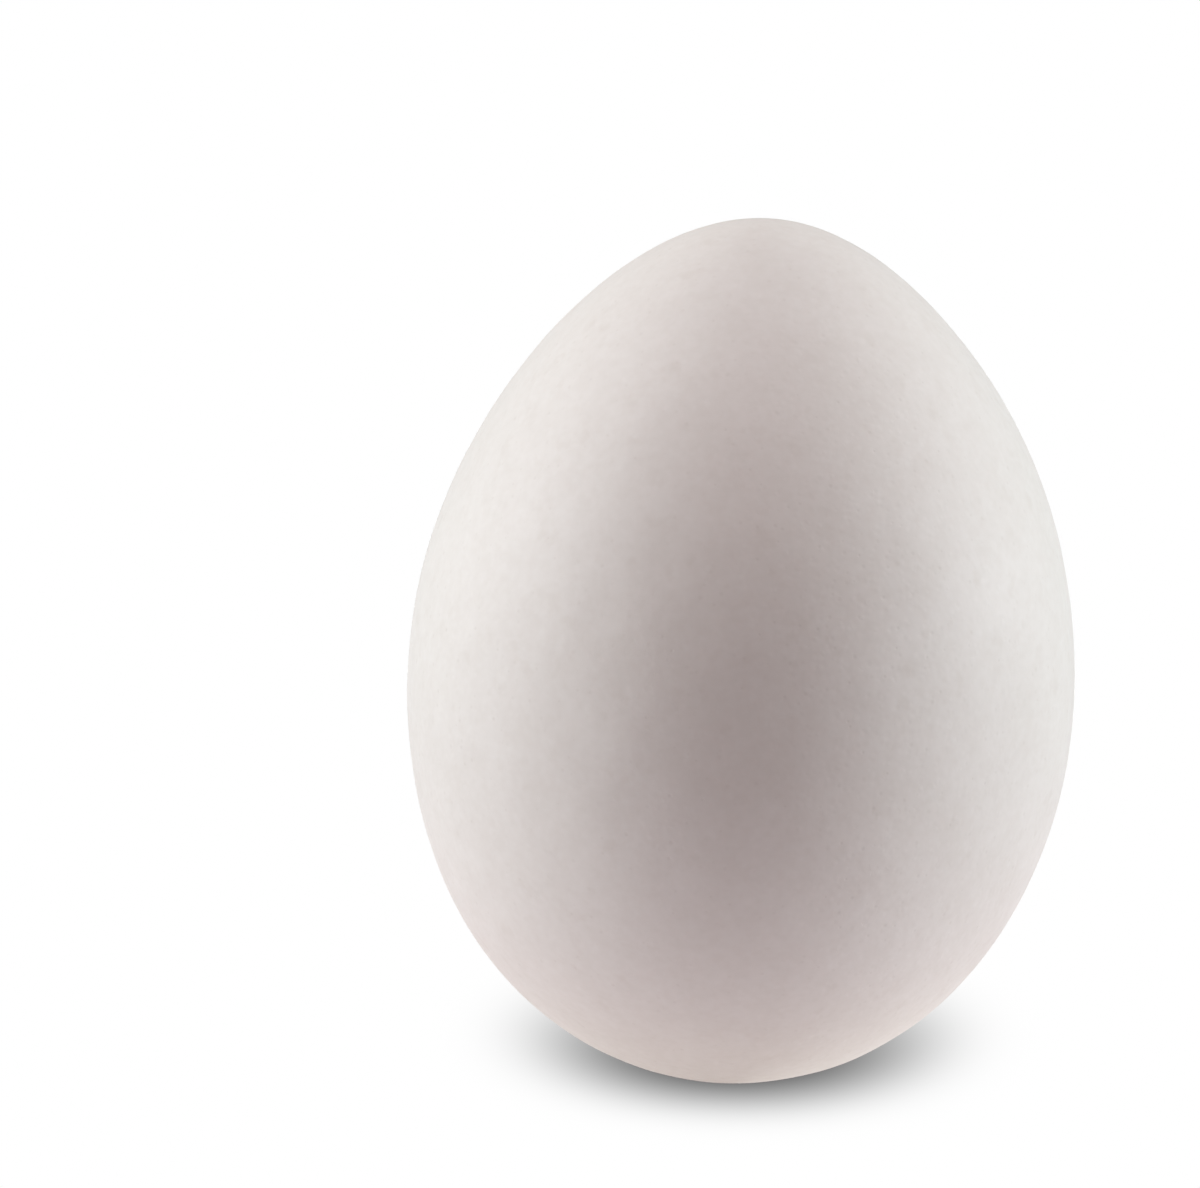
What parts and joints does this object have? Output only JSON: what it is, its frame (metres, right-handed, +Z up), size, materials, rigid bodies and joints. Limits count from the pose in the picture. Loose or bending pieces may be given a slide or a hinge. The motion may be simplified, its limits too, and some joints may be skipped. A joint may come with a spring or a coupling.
{
  "type": "egg",
  "caption": "White hen's egg in its shell, standing on its blunt end on a small flat spot and leaning slightly to one side.",
  "frame": {"origin": "centre of the small flat spot that the egg rests on, at its blunt end", "axes": "+Z up from the surface it rests on; the small end of the egg leans 3.4 degrees from +Z towards +X; XZ is its mirror plane"},
  "size_m": [0.0434, 0.0434, 0.0567],
  "materials": {
    "eggshell": "satin"
  },
  "bodies": {
    "root": {"egg": "eggshell"}
  },
  "joints": []
}
